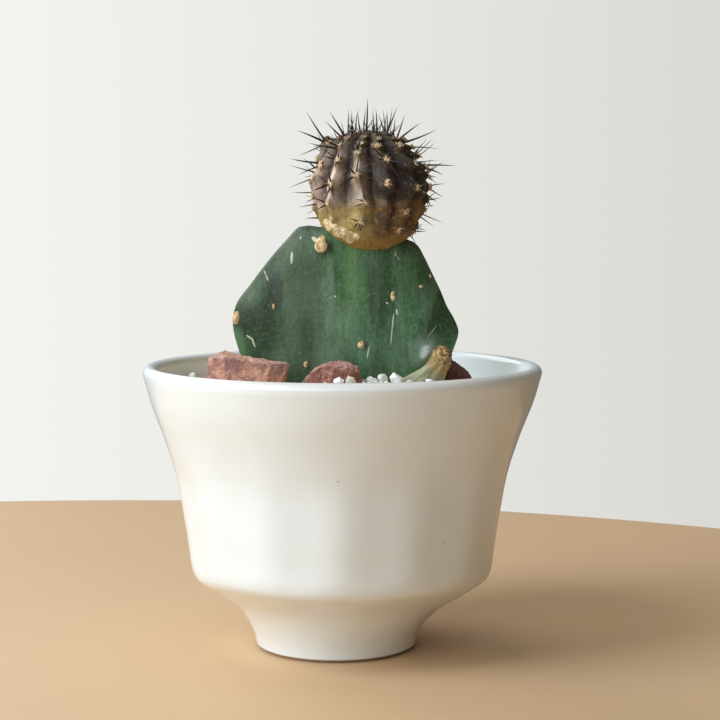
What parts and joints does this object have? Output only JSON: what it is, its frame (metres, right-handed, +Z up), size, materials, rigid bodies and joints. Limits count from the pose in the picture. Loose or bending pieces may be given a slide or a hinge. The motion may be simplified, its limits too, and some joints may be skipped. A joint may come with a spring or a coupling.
{
  "type": "potted copiapoa",
  "caption": "Small ribbed, spiny globe cactus grafted on a flat green cactus joint, planted with lava stones and white grit in a flared white pot on a narrow foot.",
  "frame": {"origin": "on the surface the pot stands on, below the middle of its rim", "axes": "+Z up; -Y towards the front, the side with the stones and the wide face of the flat joint; +X to the right of someone who looks at the front"},
  "size_m": [0.11, 0.11, 0.1524],
  "materials": {
    "white_glaze": "smooth glossy white glaze",
    "dark_soil": "loose and matte",
    "white_pumice": "rough and matte",
    "red_lava": "rough and matte, finely pitted",
    "rootstock_green": "waxy skin, half matte",
    "scion_brown": "matte skin"
  },
  "bodies": {
    "root": {"pot": "white_glaze", "potting_soil": "dark_soil", "pumice_grit": "white_pumice", "lava_stone_left": "red_lava", "lava_stone_middle": "red_lava", "lava_stone_right": "red_lava", "rootstock_pad": "rootstock_green", "copiapoa_scion": "scion_brown"}
  },
  "joints": []
}
